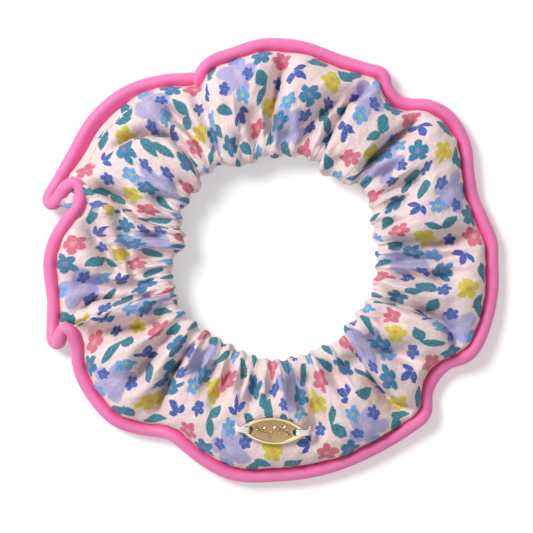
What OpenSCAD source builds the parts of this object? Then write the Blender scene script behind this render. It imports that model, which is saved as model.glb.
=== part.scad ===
// Piped cotton scrunchie with a small sewn-on metal tag, lying flat, +Z up.
// The origin is the centre of the hair opening, on the surface that it lies on.
// The sewn soft pieces are stored as a near half (y < 0) and a far half (y > 0),
// because the ring is drawn open along Y.

/* [Ring] */
// Mean radius of the piped outer edge
ring_r = 56; // [50:0.5:68]
// Radius of the hair opening at rest
opening_r = 25.5; // [21:0.5:31]
// Gap between the two stored halves
split_gap = 0.4; // [0.2:0.1:1]

/* [Sleeve] */
// Thickness of one gathered leaf of cotton
leaf_t = 1; // [0.6:0.1:1.4]
// How far the gathers puff up above the elastic's casing
puff = 4.2; // [2:0.1:6]
// Number of gathers round the ring
gathers = 26; // [18:2:34]
// Depth of the valley between two gathers
gather_depth = 1.6; // [0.4:0.1:2.4]
// Width of the stitched rim, where both leaves and the piping's edge are one
rim_w = 3; // [2:0.5:4]

/* [Elastic] */
// Width of the flat elastic
elastic_w = 6; // [4:0.5:8]
// Thickness of the flat elastic
elastic_t = 1.1; // [0.6:0.1:1.6]
// Room round the elastic in its casing
elastic_clear = 0.3; // [0.2:0.1:0.6]

/* [Piping] */
// Diameter over the piping's cover
piping_d = 3.4; // [2.6:0.1:4.2]
// Wall of the piping's cover
cover_t = 0.4; // [0.3:0.05:0.6]
// Room between the cover and the cord
cord_clear = 0.1; // [0.05:0.05:0.2]
// Room between the sleeve's rim and the piping
rim_clear = 0.4; // [0.3:0.1:0.8]

/* [Tag] */
// Length of the tag from tip to tip
tag_l = 17.4; // [14:0.1:22]
// Width of the tag
tag_w = 7.1; // [5:0.1:8.5]
// Thickness of the tag at its rim
tag_t = 1; // [0.8:0.1:1.4]
// Width of the raised rim
tag_rim = 0.6; // [0.4:0.1:0.9]
// Depth of the ground inside the rim
tag_ground = 0.25; // [0.1:0.05:0.4]
// Diameter of the sewing hole at each tip
tag_hole_d = 2; // [1.8:0.1:2.4]
// Distance from a tip to its sewing hole's centre
tag_hole_in = 2.6; // [2.4:0.1:3.4]
// Air under the tag, which lets it rock on its threads
tag_air = 0.7; // [0.6:0.1:1.4]
// Distance from the ring's centre to the tag's centre
tag_r = 43.4; // [40:0.2:48]
// Turn of the tag in plan
tag_turn = -3; // [-8:1:8]
// Slope of the tag, down towards the outer edge
tag_tilt = 14; // [8:1:20]

/* [Thread] */
// Diameter of the sewing thread
thread_d = 0.44; // [0.3:0.02:0.46]
// Length of one machine stitch
stitch_l = 2; // [1.4:0.1:2.6]
// Space between two stitches
stitch_gap = 0.5; // [0.3:0.1:0.8]

/* [Hidden] */

COTTON = "#f2dddb";
PINK = "#f585bb";
WHITE = "#f7f4f0";
CREAM = "#e9e2d4";
GOLD = "#c9a96a";

// The piping's route, clockwise from the join at the top left:
// [angle, outward from ring_r, lift above the lowest height].
ROUTE = [
    [109, -3.5, 3], [105, -2, 2], [100, -1.5, 1.5], [92, 0, 1], [82, 0, 1],
    [72, -1, 0.5], [64, -0.5, 1], [59, 0.5, 1.5], [56, -2, 1.5], [51.5, -3, 1],
    [48, -1.5, 1], [45, 1, 1.5], [41, 3, 1.5], [36, 3.5, 1], [30, 2.5, 1],
    [25, 0.5, 1], [18, -1, 0.5], [11, 0, 1], [5, 1.5, 1], [0, 1.5, 1],
    [-8, 2, 1], [-16, 2, 1.5], [-23, 1.5, 2], [-26.5, 0, 2], [-30, -3, 1],
    [-35, -4, 0.5], [-40, -3, 0.5], [-44, 0, 1.5], [-46.5, 0.5, 1.5], [-52, 0, 1],
    [-62, -0.5, 1], [-74, -0.5, 1], [-88, -0.5, 1], [-99, 0, 1], [-107, -1.5, 1.5],
    [-114, -3.5, 2], [-119, -4.5, 2], [-123, -3.5, 1], [-128, -1, 0.5], [-135, 1.5, 1],
    [-145, 1.5, 1], [-151, 0.5, 1.5], [-156, -1.5, 3], [-160, -1.8, 5], [-162, -0.4, 5],
    [-160.6, 1.4, 4], [-158.6, 2.6, 2.4], [-160, 3.8, 1], [-164, 2.5, 0], [-170, 1, 0.5],
    [-176, 1, 1], [-180, 1, 1.5], [-185, 0, 2.5], [-190, -2, 3.5], [-196, -4.5, 5],
    [-200, -4.2, 5.5], [-202, -2.2, 5.5], [-200, 0, 4.5], [-196.5, 1, 3.4], [-194.4, 2.4, 2.2],
    [-196, 3.6, 1], [-201, 2.6, 0], [-209, 2, 0.5], [-218, 2.5, 1], [-226, 2, 1],
    [-233, 0.5, 0.5], [-240, -2, 0.5], [-245, -4, 0.2], [-248, -5, 0]
];
ROUTE_STEPS = 2;            // stations along each stretch of the route
PIPING_SIDES = 8;
THREAD_SIDES = 6;
SLEEVE_RING = 90 / gathers; // degrees between two sections of the sleeve
EDGE_REACH = 2.2;           // degrees each way that a section looks for the piping
SECTION_T = [0.1, 0.25, 0.42, 0.6, 0.8];
CLOSING_FROM = 130;         // angles of the turning gap's two ends
CLOSING_TO = 154;
CLOSING_IN = 1.2;           // how far its stitches lie inside the rim's edge
END_SEAM_OUTER_A = 114;     // angles of the end seam at the rim and at the opening
END_SEAM_INNER_A = 115;
END_SEAM_IN = 4;
TACK_ANGLE = 104;
TACK_BARS = 3;
TAG_TURNS = 3;              // turns of thread through each of the tag's holes
FULL_ROUND = 96;
SMALL_ROUND = 24;

piping_r = piping_d / 2;
seam_z = piping_r + 0.6;
band_half = elastic_w / 2 + elastic_clear + leaf_t;
sleeve_h = 2 * band_half + puff;
ring_z = sleeve_h / 2;
elastic_r = opening_r + leaf_t + elastic_clear;
casing_r = elastic_r + elastic_t + elastic_clear;
stitch_pitch = stitch_l + stitch_gap;

// ---- the piping's route -------------------------------------------------

function mix(a, b, k) = a + (b - a) * k;
function spline(a, b, c, d, k) =
    b + (c - a) * k / 2 + (a - 2.5 * b + 2 * c - d / 2) * k * k
    + (1.5 * b - a / 2 - 1.5 * c + d / 2) * k * k * k;
function route_at(i) = ROUTE[min(max(i, 0), len(ROUTE) - 1)];
function place(p) =
    let (r = ring_r + p[1]) [r * cos(p[0]), r * sin(p[0]), seam_z + p[2]];
function stations(first, last) = [
    for (i = [first : last - 1], s = [0 : ROUTE_STEPS - 1])
        spline(route_at(i - 1), route_at(i), route_at(i + 1), route_at(i + 2), s / ROUTE_STEPS),
    route_at(last)
];
function route_index(angle) = [for (i = [0 : len(ROUTE) - 1]) if (ROUTE[i][0] == angle) i][0];

right_i = route_index(0);
left_i = route_index(-180);
last_i = len(ROUTE) - 1;

// A path whose end on the X axis stops short of it by half of split_gap.
function stop_short(path) = [
    for (p = path) [p[0], abs(p[1]) < 0.001 ? side_of(path) * split_gap / 2 : p[1], p[2]]
];
function side_of(path) = path[floor(len(path) / 2)][1] > 0 ? 1 : -1;
function run(first, last) = stop_short([for (p = stations(first, last)) place(p)]);

run_right = run(0, right_i);
run_near = run(right_i, left_i);
run_left = run(left_i, last_i);

// ---- lofted solids ------------------------------------------------------

function unit(v) = v / norm(v);
function tangent(path, i) =
    unit(path[min(i + 1, len(path) - 1)] - path[max(i - 1, 0)]);
function tube_rings(path, r, sides, across = undef) = [
    for (i = [0 : len(path) - 1])
        let (
            t = tangent(path, i),
            side = is_undef(across) ? unit(cross(t, [0, 0, 1])) : across,
            up = cross(side, t)
        )
        [for (k = [0 : sides - 1])
            path[i] + r * (cos(360 * k / sides) * side + sin(360 * k / sides) * up)]
];

// A solid through equal rings of points, hollow where inner rings are given.
module loft(outer, inner = []) {
    m = len(outer);
    n = len(outer[0]);
    hollow = len(inner) > 0;
    function at(skin, i, k) = skin * m * n + i * n + k % n;
    function wall(skin, i, k) = [
        [at(skin, i, k), at(skin, i + 1, k), at(skin, i + 1, k + 1)],
        [at(skin, i, k), at(skin, i + 1, k + 1), at(skin, i, k + 1)]
    ];
    function turned(face) = [for (j = [len(face) - 1 : -1 : 0]) face[j]];
    function annulus(i, k) = [at(0, i, k), at(0, i, k + 1), at(1, i, k + 1), at(1, i, k)];
    outside = [for (i = [0 : m - 2], k = [0 : n - 1]) each wall(0, i, k)];
    inside = [for (i = [0 : m - 2], k = [0 : n - 1]) each [for (f = wall(1, i, k)) turned(f)]];
    ends = hollow
        ? [for (k = [0 : n - 1]) each [annulus(0, k), turned(annulus(m - 1, k))]]
        : [[for (k = [0 : n - 1]) at(0, 0, k)], [for (k = [n - 1 : -1 : 0]) at(0, m - 1, k)]];
    polyhedron(
        points = [for (ring = concat(outer, inner)) each ring],
        faces = hollow ? concat(outside, inside, ends) : concat(outside, ends),
        convexity = 8
    );
}

module tube(path, r, bore_r = 0) {
    loft(
        tube_rings(path, r, PIPING_SIDES),
        bore_r > 0 ? tube_rings(path, bore_r, PIPING_SIDES) : []
    );
}

// ---- the sleeve ---------------------------------------------------------

all_stations = concat(stations(0, last_i), [ROUTE[0] - [360, 0, 0]]);
function crossings(angle) = [
    for (i = [0 : len(all_stations) - 2], turn = [0, -360])
        let (p = all_stations[i], q = all_stations[i + 1], a = angle + turn)
        if ((p[0] - a) * (q[0] - a) <= 0 && p[0] != q[0]) mix(p, q, (a - p[0]) / (q[0] - p[0]))
];
function innermost(list) =
    let (low = min([for (p = list) p[1]])) [for (p = list) if (p[1] == low) p][0];
// The rim's [radius, height] at an angle: just inside the innermost run of piping.
function rim_at(angle) =
    let (near = [for (d = [-EDGE_REACH, 0, EDGE_REACH]) each crossings(angle + d)])
    [ring_r + innermost(near)[1] - piping_r - rim_clear, seam_z + innermost(near)[2]];

function bulge(t) = pow(sin(180 * pow(t, 0.7)), 0.9);
function half_thick(t) = leaf_t + (ring_z + 0.4 - leaf_t) * bulge(t);
function middle(t, rim) = mix(ring_z, rim[1], t * t);
function valley(angle, t) =
    gather_depth * (1 - cos(gathers * angle)) / 2 * sin(180 * t);
function top_at(angle, t, rim) = middle(t, rim) + half_thick(t) - valley(angle, t);
function bottom_at(t, rim) = max(middle(t, rim) - half_thick(t), 0);

// One section, from the opening over the top to the rim and back underneath.
// lining = 0 gives the outer skin, and leaf_t the hollow inside it, whose flat inner end
// is the elastic's casing.
function section(angle, lining) =
    let (
        rim = rim_at(angle),
        first_r = opening_r + (lining > 0 ? lining : -0.5),
        ledge_r = lining > 0 ? casing_r : opening_r + 0.5,
        last_r = rim[0] - (lining > 0 ? rim_w : 0),
        half_rim = lining > 0 ? 0.2 : leaf_t,
        band = band_half - lining,
        n = len(SECTION_T)
    ) [
        for (p = [
            [first_r, ring_z - band], [first_r, ring_z + band], [ledge_r, ring_z + band],
            for (t = SECTION_T) [mix(ledge_r, last_r, t), top_at(angle, t, rim) - lining],
            [last_r, rim[1] + half_rim], [last_r, rim[1] - half_rim],
            for (i = [n - 1 : -1 : 0])
                [mix(ledge_r, last_r, SECTION_T[i]), bottom_at(SECTION_T[i], rim) + lining],
            [ledge_r, ring_z - band]
        ]) [p[0] * cos(angle), p[0] * sin(angle), p[1]]
    ];
// A section's cut face lies parallel to the X axis, half of split_gap from it.
function cut_face(points, side) = [for (p = points) [p[0], side * split_gap / 2, p[2]]];
function half_sections(side, lining) =
    let (first = side > 0 ? 0 : -180) [
        cut_face(section(first, lining), side),
        for (i = [1 : 2 * gathers - 1]) section(first + i * SLEEVE_RING, lining),
        cut_face(section(first + 180, lining), side)
    ];

module beyond_half(side) {
    reach = 2 * ring_r;
    translate([-reach, side > 0 ? -reach + split_gap / 2 : -split_gap / 2, -reach / 2])
        cube([2 * reach, reach, reach]);
}

module sleeve(side) {
    color(COTTON) difference() {
        loft(half_sections(side, 0), half_sections(side, leaf_t));
        translate([0, 0, -1]) cylinder(r = opening_r, h = sleeve_h + 2, $fn = FULL_ROUND);
    }
}

// ---- piping, elastic and seam -------------------------------------------

module piping_cover(paths) {
    color(PINK) for (path = paths) tube(path, piping_r, piping_r - cover_t);
}

module piping_cord(paths) {
    color(WHITE) for (path = paths) tube(path, piping_r - cover_t - cord_clear);
}

module elastic(side) {
    color(CREAM) difference() {
        translate([0, 0, ring_z - elastic_w / 2]) rotate_extrude($fn = FULL_ROUND)
            translate([elastic_r, 0]) square([elastic_t, elastic_w]);
        beyond_half(side);
    }
}

// The seam's thread runs inside the stitched rim.
module seam_thread(side) {
    first = side > 0 ? SLEEVE_RING : SLEEVE_RING - 180;
    path = [
        for (a = [first : SLEEVE_RING : first + 180 - 2 * SLEEVE_RING])
            let (rim = rim_at(a), r = rim[0] - rim_w / 2) [r * cos(a), r * sin(a), rim[1]]
    ];
    color(WHITE) loft(tube_rings(path, thread_d / 2, THREAD_SIDES));
}

// ---- stitches -----------------------------------------------------------

// The sleeve's top at a radius and angle.
function top_z(angle, r) =
    let (rim = rim_at(angle), ledge_r = opening_r + 0.5)
    top_at(angle, (r - ledge_r) / (rim[0] - ledge_r), rim);

// The place on the sleeve's top at an angle and radius.
function on_top(angle, r) = [r * cos(angle), r * sin(angle), top_z(angle, r) + thread_d / 2];

// One stitch on the sleeve's top, with both ends going down through the leaf.
module stitch(p, q) {
    down = [0, 0, leaf_t];
    across = unit(cross(q - p, down));
    loft(tube_rings([p - down, p, q, q - down], thread_d / 2, THREAD_SIDES, across));
}

// The row along the rim that closes the turning gap.
module closing_stitches() {
    pitch_a = stitch_pitch / ring_r * 180 / PI;
    function at_rim(angle) = on_top(angle, rim_at(angle)[0] - CLOSING_IN);
    color(WHITE) for (a = [CLOSING_FROM : pitch_a : CLOSING_TO])
        stitch(at_rim(a), at_rim(a + pitch_a * stitch_l / stitch_pitch));
}

// The straight row across the top leaf where the tube's two ends join.
module end_seam_stitches() {
    start = [END_SEAM_OUTER_A, rim_at(END_SEAM_OUTER_A)[0] - END_SEAM_IN];
    finish = [END_SEAM_INNER_A, opening_r + END_SEAM_IN];
    count = floor((start[1] - finish[1]) / stitch_pitch);
    function along(k) = on_top(mix(start[0], finish[0], k), mix(start[1], finish[1], k));
    color(WHITE) for (i = [0 : count - 1])
        stitch(along(i / count), along((i + stitch_l / stitch_pitch) / count));
}

// The bars that tack the elastic's overlapped ends into a ring.
module elastic_join_tack() {
    r = elastic_r + elastic_t;
    color(WHITE) for (i = [0 : TACK_BARS - 1])
        rotate([0, 0, TACK_ANGLE + 2 * i]) translate([r, 0, ring_z - elastic_w / 3])
            cylinder(d = thread_d, h = 2 * elastic_w / 3, $fn = SMALL_ROUND);
}

// ---- tag ----------------------------------------------------------------

tag_angle = -89;
// Half the tag's width at a distance along it from its middle.
function tag_half_w(along) = tag_w / 2 * (1 - pow(2 * along / tag_l, 2));
// The tag lies tag_air above the highest place of the sleeve beneath it.
tag_z = tag_air + tag_t / 2 + max([
    for (i = [-4 : 4], side = [-1, 0, 1])
        let (along = i * tag_l / 8, across = side * tag_half_w(along))
        top_z(tag_angle + along / tag_r * 180 / PI, tag_r - across) - across * sin(tag_tilt)
]);

module at_tag() {
    translate([tag_r * cos(tag_angle), tag_r * sin(tag_angle), tag_z])
        rotate([0, 0, tag_turn]) rotate([tag_tilt, 0, 0]) children();
}

// An almond outline: where two equal circles overlap.
module almond(length, width) {
    arc_r = (length * length + width * width) / (4 * width);
    intersection_for (s = [-1, 1])
        translate([0, s * (arc_r - width / 2)]) circle(r = arc_r, $fn = FULL_ROUND);
}

module tag_plate() {
    ground_w = tag_w - 2 * tag_rim;
    ground_l = tag_l * ground_w / tag_w;
    color(GOLD) at_tag() difference() {
        translate([0, 0, -tag_t / 2]) linear_extrude(tag_t) almond(tag_l, tag_w);
        translate([0, 0, tag_t / 2 - tag_ground]) linear_extrude(tag_t)
            almond(ground_l, ground_w);
        for (s = [-1, 1]) translate([s * (tag_l / 2 - tag_hole_in), 0, -tag_t])
            cylinder(d = tag_hole_d, h = 2 * tag_t, $fn = SMALL_ROUND);
    }
}

// Three turns of thread through a hole, over the tip and down into the sleeve.
module tag_thread(side) {
    hole_x = side * (tag_l / 2 - tag_hole_in);
    out_x = side * (tag_l / 2 + 0.4 + thread_d / 2);
    over = tag_t / 2 + 0.3 + thread_d / 2;
    depth = tag_t / 2 + tag_air + gather_depth + leaf_t;
    spread = (tag_hole_d - 0.6 - thread_d) / (TAG_TURNS - 1);
    color(WHITE) at_tag() for (i = [0 : TAG_TURNS - 1])
        let (y = (i - (TAG_TURNS - 1) / 2) * spread) {
            translate([min(hole_x, out_x), y, over]) rotate([0, 90, 0])
                cylinder(d = thread_d, h = abs(out_x - hole_x), $fn = SMALL_ROUND);
            for (x = [hole_x, out_x]) {
                translate([x, y, over]) sphere(d = thread_d, $fn = SMALL_ROUND);
                translate([x, y, -depth]) cylinder(d = thread_d, h = depth + over, $fn = SMALL_ROUND);
            }
        }
}

sleeve(-1);  // sleeve_near
piping_cover([run_near]);  // piping_cover_near
piping_cord([run_near]);  // piping_cord_near
elastic(-1);  // elastic_near
seam_thread(-1);  // seam_thread_near
tag_thread(-1);  // tag_thread_left
tag_thread(1);  // tag_thread_right
tag_plate();
sleeve(1);  // sleeve_far
piping_cover([run_right, run_left]);  // piping_cover_far
piping_cord([run_right, run_left]);  // piping_cord_far
elastic(1);  // elastic_far
seam_thread(1);  // seam_thread_far
closing_stitches();
end_seam_stitches();
elastic_join_tack();
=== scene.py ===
import math

import bmesh
import bpy
import numpy as np
from mathutils import Matrix, Vector


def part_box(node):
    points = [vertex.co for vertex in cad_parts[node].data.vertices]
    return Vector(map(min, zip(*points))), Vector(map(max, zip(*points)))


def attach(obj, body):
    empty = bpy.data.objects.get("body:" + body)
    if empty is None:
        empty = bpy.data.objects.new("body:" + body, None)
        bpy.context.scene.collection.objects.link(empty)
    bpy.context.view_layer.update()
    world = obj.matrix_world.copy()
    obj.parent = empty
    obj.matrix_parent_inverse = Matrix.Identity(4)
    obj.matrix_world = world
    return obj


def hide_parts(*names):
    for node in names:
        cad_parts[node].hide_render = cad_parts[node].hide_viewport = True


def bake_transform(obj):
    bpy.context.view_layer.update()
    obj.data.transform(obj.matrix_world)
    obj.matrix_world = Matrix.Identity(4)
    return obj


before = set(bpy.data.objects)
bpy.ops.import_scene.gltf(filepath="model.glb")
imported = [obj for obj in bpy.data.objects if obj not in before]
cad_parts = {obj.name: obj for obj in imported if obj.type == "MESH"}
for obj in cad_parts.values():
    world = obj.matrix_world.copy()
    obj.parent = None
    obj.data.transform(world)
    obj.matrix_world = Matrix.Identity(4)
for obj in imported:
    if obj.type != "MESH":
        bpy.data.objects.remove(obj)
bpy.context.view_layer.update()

MM = 0.001

# ---------------------------------------------------------------- sizes, in millimetres
RING_R = 56.0          # mean radius of the piped edge
PIPING_R = 1.7         # radius over the piping's cover
SEAM_LOW = 2.3         # height of the piping's lowest run
CORD_R = 1.2           # the filler cord inside the piping
LEAF = 34.5            # width of one leaf, from the seam to the fold at the opening
COTTON_T = 0.32        # thickness of the cotton
ELASTIC_IN = 2.8       # from the sleeve's fold to the elastic's inner face
ELASTIC_W = 6.0
ELASTIC_T = 1.1
ELASTIC_Z = 6.4        # height of the elastic's middle
ELASTIC_MEAN_R = 27.0
CASING_ROOM = 0.5      # between the elastic and the cotton
TACK_ANGLE = 104       # where the elastic's ends are tacked together
TACK_PITCH = 2         # degrees from one bar of the tack to the next
TAG_L = 17.4
TAG_W = 7.1
TAG_T = 1.0
TAG_RIM = 0.6
TAG_GROUND = 0.25      # depth of the ground inside the rim
TAG_TILT = 14.0        # degrees, with its edge towards the opening raised
TAG_TURN = -3.0        # degrees about the vertical
TAG_HOLE_IN = 2.6      # from a tip to its sewing hole's centre
TAG_HOLE_R = 1.0
TAG_ROOM = 0.65        # between the tag and the cotton beneath it
THREAD_R = 0.22
STITCH = 2.0
STITCH_GAP = 0.5
CLOSING_ANGLES = (-230, -206)   # the turning gap's two ends, along the route
CLOSING_IN = 2.6                # from the seam to the row that closes it
# The pressed band beside it, row by row of the cloth: [inward, up, how fully it is pressed],
# and the angles over which it fades in and out.
BAND = [[1.5, 0.9, 1], [3.0, 1.2, 1], [4.2, 2.4, 1], [5.2, 3.8, 0.7], [6.4, 4.8, 0.4]]
BAND_STARTS = (-232, -227)
BAND_ENDS = (-208, -203)
END_SEAM_AT_FOLD = 115.5        # angle at which the tube's end seam meets the opening

# The piping's route, clockwise from the join at the top left:
# [angle, outward from RING_R, lift above SEAM_LOW].
ROUTE = [
    [109, -3.5, 3], [105, -2, 2], [100, -1.5, 1.5], [92, 0, 1], [82, 0, 1],
    [72, -1, 0.5], [64, -0.5, 1], [59, 0.5, 1.5], [56, -2, 1.5], [51.5, -3, 1],
    [48, -1.5, 1], [45, 1, 1.5], [41, 3, 1.5], [36, 3.5, 1], [30, 2.5, 1],
    [25, 0.5, 1], [18, -1, 0.5], [11, 0, 1], [5, 1.5, 1], [0, 1.5, 1],
    [-8, 2, 1], [-16, 2, 1.5], [-23, 1.5, 2], [-26.5, 0, 2], [-30, -3, 1],
    [-35, -4, 0.5], [-40, -3, 0.5], [-44, 0, 1.5], [-46.5, 0.5, 1.5], [-52, 0, 1],
    [-62, -0.5, 1], [-74, -0.5, 1], [-88, -0.5, 1], [-99, 0, 1], [-107, -1.5, 1.5],
    [-114, -3.5, 2], [-119, -4.5, 2], [-123, -3.5, 1], [-128, -1, 0.5], [-135, 1.5, 1],
    [-145, 1.5, 1], [-151, 0.5, 1.5], [-156, -1.5, 3], [-160, -1.8, 5], [-162, -0.4, 5],
    [-160.6, 1.4, 4], [-158.6, 2.6, 2.4], [-160, 3.8, 1], [-164, 2.5, 0], [-170, 1, 0.5],
    [-176, 1, 1], [-180, 1, 1.5], [-185, 0, 2.5], [-190, -2, 3.5], [-196, -4.5, 5],
    [-200, -4.2, 5.5], [-202, -2.2, 5.5], [-200, 0, 4.5], [-196.5, 1, 3.4], [-194.4, 2.4, 2.2],
    [-196, 3.6, 1], [-201, 2.6, 0], [-209, 2, 0.5], [-218, 2.5, 1], [-226, 2, 1],
    [-233, 0.5, 0.5], [-240, -2, 0.5], [-245, -4, 0.2], [-248, -5, 0],
]
# Where the piping's two ends turn in under the sleeve at its join.
JOIN_START = [[111.6, -8.6, 0.6], [111.6, -7.2, 1.2], [111.2, -5.6, 2.2]]
JOIN_END = [[-250.5, -6.6, 0], [-252, -8.4, 0]]

# How far from the middle the sleeve's fold lies round the opening: [angle, radius].
OPENING_EDGE = [
    [90, 26], [73, 27.5], [62, 27.5], [57, 25.5], [51, 27], [44, 28], [39, 30.5], [35, 29.5],
    [26, 28], [20, 27], [0, 26.5], [-21, 26.4], [-37, 25], [-49, 26], [-61, 24.6], [-90, 24.6],
    [-100, 24], [-120, 23], [-138, 24.3], [-155, 25.6], [-168, 24.1], [-180, 25], [-187, 21.4],
    [-196, 21.8], [-206, 25.2], [-226, 25.8], [-230, 27.5], [-245, 26.8], [-255, 24.8], [-270, 26],
]

# The gathers' creases, clockwise: each is [depth, lean, places], and a place is (radius, angle).
# lean is the side that folds over: above 0 the clockwise side, below 0 the other one.
CREASES = [
    [0.5, 0, (26, 104), (33, 105)],
    [0.9, 0, (26, 95.5), (35, 96), (40, 100)],
    [1.0, 0.5, (26, 91), (40, 88), (54, 85)],
    [0.6, 0, (26, 82), (34, 81)],
    [0.9, 0, (26, 73), (38, 72.7), (49, 65)],
    [1.0, 0.8, (26, 63), (36.5, 63.5), (44, 63), (54, 59)],
    [0.5, 0, (26, 54), (33, 54)],
    [1.0, -0.6, (29, 42), (36.5, 46), (43, 45.5), (54, 44)],
    [0.7, 0, (29, 38), (42, 37)],
    [0.8, 0, (28, 33), (46, 29)],
    [0.8, 0, (27, 26), (40, 24.5)],
    [0.7, 0, (26, 18), (35, 17)],
    [1.0, 0, (26, 8.5), (44, 6), (55, 8)],
    [0.8, 0, (26, 0), (44, 1), (52, 2)],
    [0.9, 0, (26, -7), (40, -6), (50, -4)],
    [0.7, 0, (26, -15), (37, -16)],
    [1.0, 0.7, (26, -21), (40, -19.5), (47, -20), (54.5, -26)],
    [0.7, 0, (26, -27), (35, -28)],
    [1.0, 0, (25, -35), (38, -37), (46, -34)],
    [1.0, -0.7, (25, -43), (39, -48), (49, -48.5), (54, -45)],
    [1.0, 0, (25, -49), (38, -51)],
    [0.8, 0, (25, -55), (38, -53)],
    [0.8, 0, (25, -62), (38, -60)],
    [0.9, 0, (25, -69), (42, -74), (48, -77)],
    [0.7, 0, (25, -75), (36, -75)],
    [0.9, 0, (25, -82), (40, -77)],
    [0.7, 0, (25, -89), (36, -90)],
    [0.8, 0, (24, -96), (38, -98)],
    [0.6, 0, (24, -103), (35, -103)],
    [0.8, 0, (23, -110), (40, -111)],
    [0.8, 0, (23, -119), (38, -116)],
    [0.7, 0, (23, -127), (36, -122)],
    [1.0, -0.5, (23, -135), (38, -130), (48, -127), (51, -122)],
    [1.0, 0, (25, -145), (37, -143), (48, -138)],
    [0.8, 0, (25, -153), (38, -152)],
    [1.0, -0.6, (25, -161), (38, -164), (46, -167), (53, -164)],
    [1.0, 0, (24, -168), (40, -170), (50, -174), (54, -177)],
    [1.0, 0, (45, -156), (50, -158), (54, -161), (57, -162)],
    [0.6, 0, (25, -173), (35, -174)],
    [0.9, 0, (25, -184), (36, -180)],
    [0.8, 0, (22, -194), (33, -192)],
    [0.7, 0, (36, -182), (38, -190), (42, -200)],
    [1.0, 0, (23, -200), (34, -198), (42, -202.5), (50, -203)],
    [1.0, 0, (44, -186), (48, -192), (52, -199), (55, -201)],
    [0.7, 0, (25, -210), (35, -208)],
    [0.6, 0, (25, -220), (32, -218)],
    [1.0, -0.8, (26, -228), (34, -231.5), (40, -230.5), (45, -225), (48, -219), (51, -211)],
    [0.8, 0, (27, -241.5), (40, -238.5), (50, -235)],
    [0.4, 0, (26, -245), (48, -246)],
]
CREASE_RUN_IN = 8      # how far a crease runs on from its first place, towards the opening
VALLEY = 3.6           # how sharply a crease's valley dips
FLAP_REACH = 3.2       # how far a leaning gather laps over its crease
# How far each leaf starts from the line between seam and fold, and what a full crease takes off.
PUFF_UP, CREASE_UP = 7.8, 7.6
PUFF_DOWN, CREASE_DOWN = 7.0, 4.2

# The print's repeat, round the ring and across it, and its motifs in the order of printing,
# each [kind, across, up, turn in degrees, size].
REPEAT = (41, 34)
MOTIFS = [
    ["blossom", 9, 8, 10, 13], ["blossom", 29, 24.5, 50, 14],
    ["leaf", 2, 3, 70, 6.6], ["teal_flower", 16.5, 4, 20, 6.6], ["small_flower", 5, 11, 0, 4.2],
    ["rose", 22.5, 5.5, 40, 6.4], ["sprig", 26.5, 9, -25, 10], ["leaf", 32.5, 4, 20, 6.8],
    ["yellow", 37.5, 9, -30, 6.8], ["sky_flower", 11, 13.5, 15, 5], ["leaf", 17, 11, 120, 6.4],
    ["small_flower", 22.5, 12.5, 30, 4.2], ["teal_flower", 33, 15, 0, 6.8], ["leaf", 4, 16.5, -20, 6.2],
    ["sprig", 9, 17.5, -60, 10], ["rose", 16, 24.5, 0, 6.4], ["yellow", 20.5, 19.5, 60, 6.6],
    ["leaf", 39, 19.5, 80, 6.4], ["small_flower", 39, 15, 50, 4], ["sky_flower", 27.5, 17.5, 0, 4.8],
    ["leaf", 22.5, 28, 40, 6.6], ["teal_flower", 4.5, 26, 45, 6.6], ["small_flower", 36.5, 25.5, 10, 4.2],
    ["leaf", 11, 28.5, 150, 6.4], ["sky_flower", 17, 31.5, 30, 4.8], ["leaf", 30.5, 31.5, -40, 6.6],
    ["small_flower", 25.5, 33, 0, 4], ["rose", 37.5, 31.5, 20, 6.4],
    ["leaf", 17, 15.5, 60, 5.4], ["small_flower", 33.5, 20.5, 0, 4], ["leaf", 0.5, 21.5, -60, 5.6],
    ["sky_flower", 9, 2.5, 0, 4.6], ["teal_flower", 26, 22.5, 10, 6],
    ["leaf", 6.5, 32, 100, 5.8], ["small_flower", 12.5, 8, 40, 3.8], ["leaf", 40.5, 5, 150, 5.6],
]
# Each kind's shape, its ink, and the ink of its eye.
INKS = {
    "blossom": ["flower", "#aca6cf", "#bdb4d4"],
    "teal_flower": ["flower", "#22789e", "#7f78a4"],
    "small_flower": ["flower", "#3c5fb4", "#6f7a6a"],
    "sky_flower": ["flower", "#62a0d8", "#a9b76a"],
    "rose": ["flower", "#cf6580", "#cf9a86"],
    "yellow": ["flower", "#cdbf38", "#d9965a"],
    "leaf": ["leaf", "#247b8c", None],
    "sprig": ["sprig", "#3156a8", None],
}


# ---------------------------------------------------------------- small tools
def linear(hex_colour, alpha=1.0):
    """An sRGB hex colour as linear RGBA."""
    value = hex_colour.lstrip("#")
    rgb = [int(value[i:i + 2], 16) / 255 for i in (0, 2, 4)]
    lin = [c / 12.92 if c <= 0.04045 else ((c + 0.055) / 1.055) ** 2.4 for c in rgb]
    return (*lin, alpha)


def smoothstep(low, high, x):
    k = np.clip((np.asarray(x, float) - low) / (high - low), 0.0, 1.0)
    return k * k * (3 - 2 * k)


def link(name, mesh, made_of=None, smooth=True):
    piece = bpy.data.objects.new(name, mesh)
    bpy.context.scene.collection.objects.link(piece)
    mesh.polygons.foreach_set("use_smooth", [smooth] * len(mesh.polygons))
    if made_of:
        mesh.materials.append(made_of)
    return piece


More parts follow.
